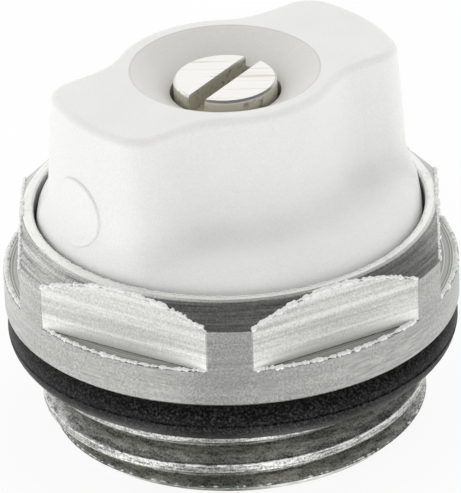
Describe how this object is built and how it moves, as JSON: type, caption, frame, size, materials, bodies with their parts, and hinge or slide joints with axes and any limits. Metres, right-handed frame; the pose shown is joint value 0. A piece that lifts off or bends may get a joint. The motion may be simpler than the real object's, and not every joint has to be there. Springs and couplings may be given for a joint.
{
  "type": "manual radiator air vent",
  "caption": "Radiator vent plug: nickel-plated threaded body with spanner flats and O-ring, a white outlet cap that swivels, and a slotted vent screw that opens the air way.",
  "frame": {"origin": "centre of the threaded end's lower face, on the thread's axis", "axes": "+Z along the thread's axis from the threaded end up through the cap and the vent screw; +X square to one of the six spanner flats"},
  "size_m": [0.0242, 0.0242, 0.02],
  "materials": {
    "nickel_plated_brass": "satin nickel plate over turned brass",
    "black_rubber": "matt moulded rubber",
    "white_plastic": "satin moulded plastic",
    "screw_brass": "nickel plate"
  },
  "bodies": {
    "valve_body": {"valve_body": "nickel_plated_brass", "collar_oring": "black_rubber", "cap_oring": "black_rubber"},
    "outlet_cap": {"outlet_cap": "white_plastic"},
    "stem_seal": {"stem_oring": "black_rubber"},
    "vent_screw": {"vent_screw": "screw_brass"}
  },
  "joints": [
    {"name": "cap_swivel", "type": "hinge", "parent": "valve_body", "child": "outlet_cap", "pos_m": [0, 0, 0.015], "axis": [0, 0, 1], "continuous": true},
    {"name": "screw_lift", "type": "slide", "parent": "valve_body", "child": "stem_seal", "axis": [0, 0, 1], "range_m": [0, 0.0006]},
    {"name": "screw_turn", "type": "hinge", "parent": "stem_seal", "child": "vent_screw", "pos_m": [0, 0, 0.015], "axis": [0, 0, 1], "range_deg": [0, 270]}
  ],
  "couplings": [
    {"joint": "screw_turn", "follows": "screw_lift", "rad_per_m": 7853.9}
  ]
}
